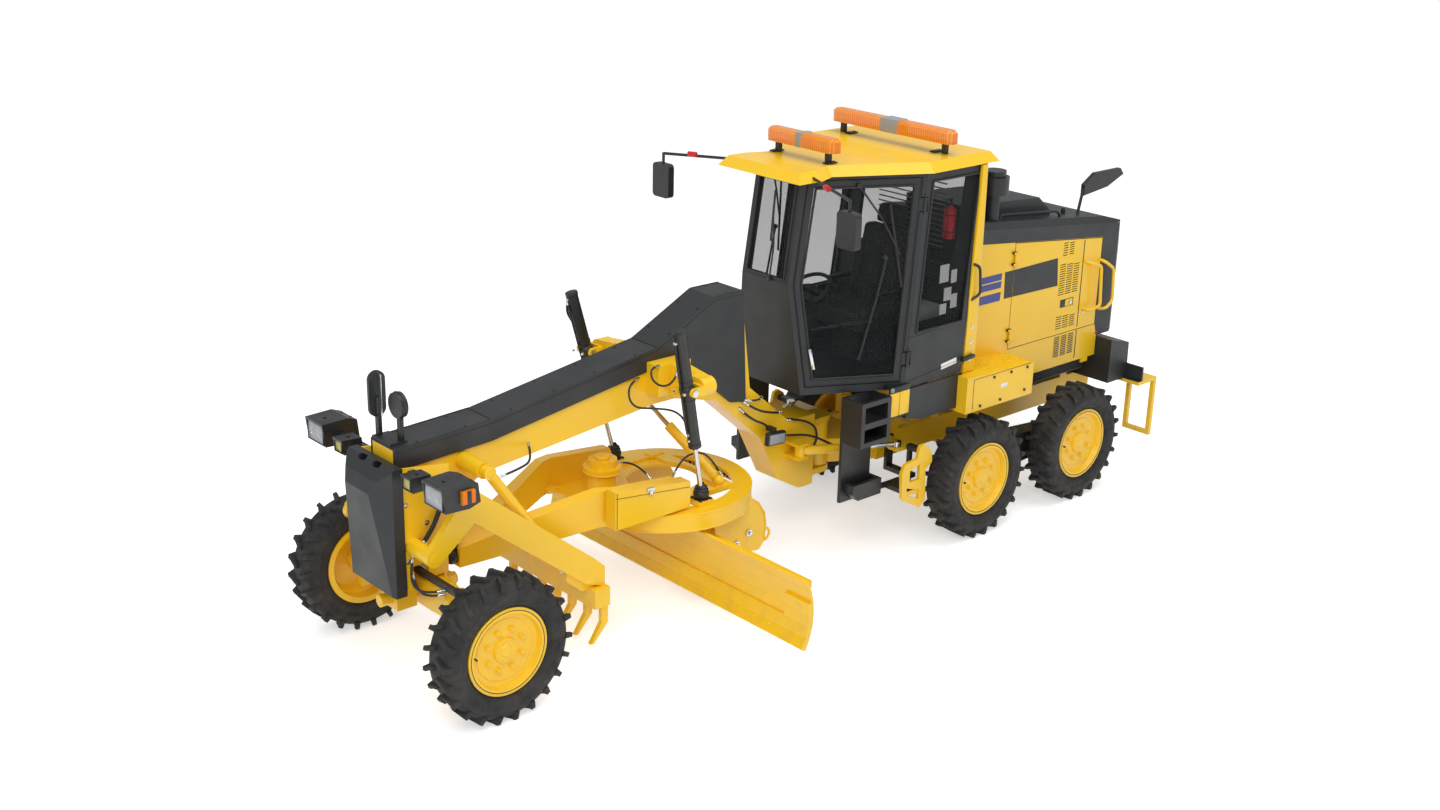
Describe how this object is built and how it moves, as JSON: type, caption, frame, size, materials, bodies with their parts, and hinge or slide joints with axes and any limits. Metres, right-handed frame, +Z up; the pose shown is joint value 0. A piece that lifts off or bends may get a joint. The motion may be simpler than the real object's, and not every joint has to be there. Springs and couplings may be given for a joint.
{
  "type": "motor grader",
  "caption": "Articulated motor grader: cab and engine on a tandem rear frame, arched front frame with drawbar, turning circle, curved blade, scarifier, and leaning steered front wheels.",
  "frame": {"origin": "centre of the machine's bounding box at ground level", "axes": "+X forward, +Y to the machine's left, +Z up"},
  "size_m": [8.0647, 3.1, 3.4797],
  "materials": {
    "black": "satin",
    "chrome": "polished",
    "dark": "satin",
    "engine": "rough",
    "glass": "tinted",
    "orange": "gloss",
    "seat": "matte",
    "tyre": "matte",
    "yellow": "gloss"
  },
  "bodies": {
    "rear": {"rear_frame": "yellow", "tandem_cases": "black", "counterweight": "dark", "side_steps": "black", "hood_shell": "dark", "engine": "engine", "cab_frame": "dark", "cab_glass": "glass", "cab_roof": "yellow", "light_bars": "orange", "cab_interior": "seat"},
    "front": {"front_frame": "yellow", "frame_cover": "dark", "nose_cover": "dark", "front_axle": "yellow", "lamp_bar": "black"},
    "lean_bar": {"lean_bar": "black"},
    "swing": {"draft_ball": "black"},
    "drawbar": {"drawbar": "yellow"},
    "circle": {"circle": "yellow"},
    "carrier": {"tilt_carrier": "yellow"},
    "blade": {"moldboard": "yellow"},
    "shift_hanger": {"shift_hanger": "black"},
    "shift_rod": {"shift_rod": "chrome"},
    "shift_barrel": {"shift_barrel": "yellow"},
    "scarifier": {"scarifier": "yellow"},
    "scarifier_barrel": {"scarifier_barrel": "yellow"},
    "scarifier_rod": {"scarifier_rod": "chrome"},
    "artic_barrel_left": {"artic_barrel_left": "yellow"},
    "artic_rod_left": {"artic_rod_left": "chrome"},
    "yoke_left": {"yoke_left": "black"},
    "lift_barrel_left": {"lift_barrel_left": "black"},
    "lift_rod_left": {"lift_rod_left": "chrome"},
    "lean_left": {"lean_bracket_left": "yellow"},
    "steer_left": {"knuckle_left": "yellow"},
    "hood_door_left": {"hood_door_left": "yellow"},
    "cab_door_left": {"cab_door_left": "dark", "door_glass_left": "glass"},
    "wheel_front_left": {"rim_front_left": "yellow", "tyre_front_left": "tyre"},
    "wheel_mid_left": {"rim_mid_left": "yellow", "tyre_mid_left": "tyre"},
    "wheel_rear_left": {"rim_rear_left": "yellow", "tyre_rear_left": "tyre"},
    "artic_barrel_right": {"artic_barrel_right": "yellow"},
    "artic_rod_right": {"artic_rod_right": "chrome"},
    "yoke_right": {"yoke_right": "black"},
    "lift_barrel_right": {"lift_barrel_right": "black"},
    "lift_rod_right": {"lift_rod_right": "chrome"},
    "lean_right": {"lean_bracket_right": "yellow"},
    "steer_right": {"knuckle_right": "yellow"},
    "hood_door_right": {"hood_door_right": "yellow"},
    "cab_door_right": {"cab_door_right": "dark", "door_glass_right": "glass"},
    "wheel_front_right": {"rim_front_right": "yellow", "tyre_front_right": "tyre"},
    "wheel_mid_right": {"rim_mid_right": "yellow", "tyre_mid_right": "tyre"},
    "wheel_rear_right": {"rim_rear_right": "yellow", "tyre_rear_right": "tyre"}
  },
  "joints": [
    {"name": "wheel_mid_left_spin", "type": "hinge", "parent": "rear", "child": "wheel_mid_left", "pos_m": [-1.4035, 0.69, 0.525], "axis": [0, 1, 0], "continuous": true},
    {"name": "wheel_mid_right_spin", "type": "hinge", "parent": "rear", "child": "wheel_mid_right", "pos_m": [-1.4035, -1.13, 0.525], "axis": [0, 1, 0], "continuous": true},
    {"name": "wheel_rear_left_spin", "type": "hinge", "parent": "rear", "child": "wheel_rear_left", "pos_m": [-2.7565, 0.69, 0.525], "axis": [0, 1, 0], "continuous": true},
    {"name": "wheel_rear_right_spin", "type": "hinge", "parent": "rear", "child": "wheel_rear_right", "pos_m": [-2.7565, -1.13, 0.525], "axis": [0, 1, 0], "continuous": true},
    {"name": "articulation", "type": "hinge", "parent": "rear", "child": "front", "pos_m": [-0.383, -0.22, 0.81], "axis": [0, 0, 1], "range_deg": [-25, 25]},
    {"name": "artic_barrel_left_pin", "type": "hinge", "parent": "front", "child": "artic_barrel_left", "pos_m": [0.057, 0.03, 0.9], "axis": [0, 0, 1], "range_deg": [-18.16, 18.16]},
    {"name": "artic_rod_left_slide", "type": "slide", "parent": "artic_barrel_left", "child": "artic_rod_left", "axis": [-0.8872, 0.4614, 0], "range_m": [-0.1853, 0.1853]},
    {"name": "artic_barrel_right_pin", "type": "hinge", "parent": "front", "child": "artic_barrel_right", "pos_m": [0.057, -0.47, 0.9], "axis": [0, 0, 1], "range_deg": [-18.16, 18.16]},
    {"name": "artic_rod_right_slide", "type": "slide", "parent": "artic_barrel_right", "child": "artic_rod_right", "axis": [-0.8872, -0.4614, 0], "range_m": [-0.1853, 0.1853]},
    {"name": "lean_left", "type": "hinge", "parent": "front", "child": "lean_left", "pos_m": [3.517, 0.39, 0.525], "axis": [-1, 0, 0], "range_deg": [-18, 18]},
    {"name": "lean_right", "type": "hinge", "parent": "front", "child": "lean_right", "pos_m": [3.517, -0.83, 0.525], "axis": [-1, 0, 0], "range_deg": [-18, 18]},
    {"name": "lean_bar_slide", "type": "slide", "parent": "front", "child": "lean_bar", "axis": [0, 1, 0], "range_m": [-0.1, 0.1]},
    {"name": "steer_left", "type": "hinge", "parent": "lean_left", "child": "steer_left", "pos_m": [3.517, 0.508, 0.525], "axis": [0, 0, 1], "range_deg": [-35, 35]},
    {"name": "steer_right", "type": "hinge", "parent": "lean_right", "child": "steer_right", "pos_m": [3.517, -0.948, 0.525], "axis": [0, 0, 1], "range_deg": [-35, 35]},
    {"name": "wheel_front_left_spin", "type": "hinge", "parent": "steer_left", "child": "wheel_front_left", "pos_m": [3.517, 0.69, 0.525], "axis": [0, 1, 0], "continuous": true},
    {"name": "wheel_front_right_spin", "type": "hinge", "parent": "steer_right", "child": "wheel_front_right", "pos_m": [3.517, -1.13, 0.525], "axis": [0, 1, 0], "continuous": true},
    {"name": "drawbar_swing", "type": "hinge", "parent": "front", "child": "swing", "pos_m": [3.287, -0.22, 0.8], "axis": [0, 0, -1], "range_deg": [-6.5, 6.5]},
    {"name": "drawbar_lift", "type": "hinge", "parent": "swing", "child": "drawbar", "pos_m": [3.287, -0.22, 0.8], "axis": [0, 1, 0], "range_deg": [-4.5, 6.5]},
    {"name": "circle_turn", "type": "hinge", "parent": "drawbar", "child": "circle", "pos_m": [1.317, -0.22, 0.88], "axis": [0, 0, 1], "range_deg": [-40, 40]},
    {"name": "blade_tip", "type": "hinge", "parent": "circle", "child": "carrier", "pos_m": [1.172, -0.22, 0.47], "axis": [0, 1, 0], "range_deg": [-5, 25]},
    {"name": "blade_shift", "type": "slide", "parent": "carrier", "child": "blade", "axis": [0, 1, 0], "range_m": [-0.5, 0.3]},
    {"name": "yoke_left_turn", "type": "hinge", "parent": "front", "child": "yoke_left", "pos_m": [1.602, 0.385, 1.857], "axis": [1, 0, 0], "range_deg": [-14.91, 14.91]},
    {"name": "lift_barrel_left_pin", "type": "hinge", "parent": "yoke_left", "child": "lift_barrel_left", "pos_m": [1.602, 0.385, 1.857], "axis": [-0.5304, 0.8459, 0.0562], "range_deg": [-2.52, 3.2]},
    {"name": "lift_rod_left_slide", "type": "slide", "parent": "lift_barrel_left", "child": "lift_rod_left", "axis": [-0.2354, -0.0774, -0.9688], "range_m": [-0.2166, 0.1509]},
    {"name": "yoke_right_turn", "type": "hinge", "parent": "front", "child": "yoke_right", "pos_m": [1.602, -0.825, 1.857], "axis": [1, 0, 0], "range_deg": [-14.91, 14.91]},
    {"name": "lift_barrel_right_pin", "type": "hinge", "parent": "yoke_right", "child": "lift_barrel_right", "pos_m": [1.602, -0.825, 1.857], "axis": [0.5304, 0.8459, -0.0562], "range_deg": [-2.52, 3.2]},
    {"name": "lift_rod_right_slide", "type": "slide", "parent": "lift_barrel_right", "child": "lift_rod_right", "axis": [-0.2354, 0.0774, -0.9688], "range_m": [-0.2166, 0.1509]},
    {"name": "shift_hanger_turn", "type": "hinge", "parent": "front", "child": "shift_hanger", "pos_m": [1.267, -0.55, 1.48], "axis": [1, 0, 0], "range_deg": [-13.81, 19.5]},
    {"name": "shift_rod_turn", "type": "hinge", "parent": "shift_hanger", "child": "shift_rod", "pos_m": [1.267, -0.55, 1.48], "axis": [1, 0, 0], "range_deg": [-9.56, 9.56]},
    {"name": "shift_barrel_slide", "type": "slide", "parent": "shift_rod", "child": "shift_barrel", "axis": [-0.1618, 0.8199, -0.5491], "range_m": [-0.2061, 0.2061]},
    {"name": "scarifier_lift", "type": "hinge", "parent": "front", "child": "scarifier", "pos_m": [3.767, -0.22, 1.11], "axis": [0, 1, 0], "range_deg": [-2.5, 10]},
    {"name": "scarifier_barrel_pin", "type": "hinge", "parent": "front", "child": "scarifier_barrel", "pos_m": [3.257, 0.225, 1.578], "axis": [0, 1, 0], "range_deg": [-3.4, 10.6]},
    {"name": "scarifier_rod_slide", "type": "slide", "parent": "scarifier_barrel", "child": "scarifier_rod", "axis": [-0.5754, 0, -0.8178], "range_m": [-0.1223, 0.0321]},
    {"name": "cab_door_left_hinge", "type": "hinge", "parent": "rear", "child": "cab_door_left", "pos_m": [-0.58466, 0.55846, 1.51], "axis": [-0.1047, -0.0256, 0.9942], "range_deg": [0, 70]},
    {"name": "hood_door_left_hinge", "type": "hinge", "parent": "rear", "child": "hood_door_left", "pos_m": [-2.18, 0.339, 1.4], "axis": [0, 0, -1], "range_deg": [0, 75]},
    {"name": "cab_door_right_hinge", "type": "hinge", "parent": "rear", "child": "cab_door_right", "pos_m": [-0.58466, -0.99846, 1.51], "axis": [0.1047, -0.0256, -0.9942], "range_deg": [0, 70]},
    {"name": "hood_door_right_hinge", "type": "hinge", "parent": "rear", "child": "hood_door_right", "pos_m": [-2.18, -0.779, 1.4], "axis": [0, 0, 1], "range_deg": [0, 75]}
  ],
  "couplings": [
    {"joint": "artic_barrel_left_pin", "follows": "articulation", "ratio": -0.68627},
    {"joint": "artic_rod_left_slide", "follows": "articulation", "m_per_rad": -0.42012},
    {"joint": "artic_barrel_right_pin", "follows": "articulation", "ratio": -0.68627},
    {"joint": "artic_rod_right_slide", "follows": "articulation", "m_per_rad": 0.42012},
    {"joint": "lean_right", "follows": "lean_left", "ratio": 1},
    {"joint": "lean_bar_slide", "follows": "lean_left", "m_per_rad": 0.29509},
    {"joint": "steer_right", "follows": "steer_left", "ratio": 1},
    {"joint": "yoke_left_turn", "follows": "drawbar_swing", "ratio": 2.14},
    {"joint": "lift_barrel_left_pin", "follows": "drawbar_lift", "ratio": 0.33895},
    {"joint": "lift_rod_left_slide", "follows": "drawbar_lift", "m_per_rad": -1.8828},
    {"joint": "yoke_right_turn", "follows": "drawbar_swing", "ratio": 2.14},
    {"joint": "lift_barrel_right_pin", "follows": "drawbar_lift", "ratio": 0.33895},
    {"joint": "lift_rod_right_slide", "follows": "drawbar_lift", "m_per_rad": -1.8828},
    {"joint": "shift_hanger_turn", "follows": "drawbar_lift", "ratio": 2.8465},
    {"joint": "shift_rod_turn", "follows": "drawbar_swing", "ratio": 1.3173},
    {"joint": "shift_barrel_slide", "follows": "drawbar_swing", "m_per_rad": 1.7991},
    {"joint": "scarifier_barrel_pin", "follows": "scarifier_lift", "ratio": 0.95963},
    {"joint": "scarifier_rod_slide", "follows": "scarifier_lift", "m_per_rad": -0.68939}
  ]
}
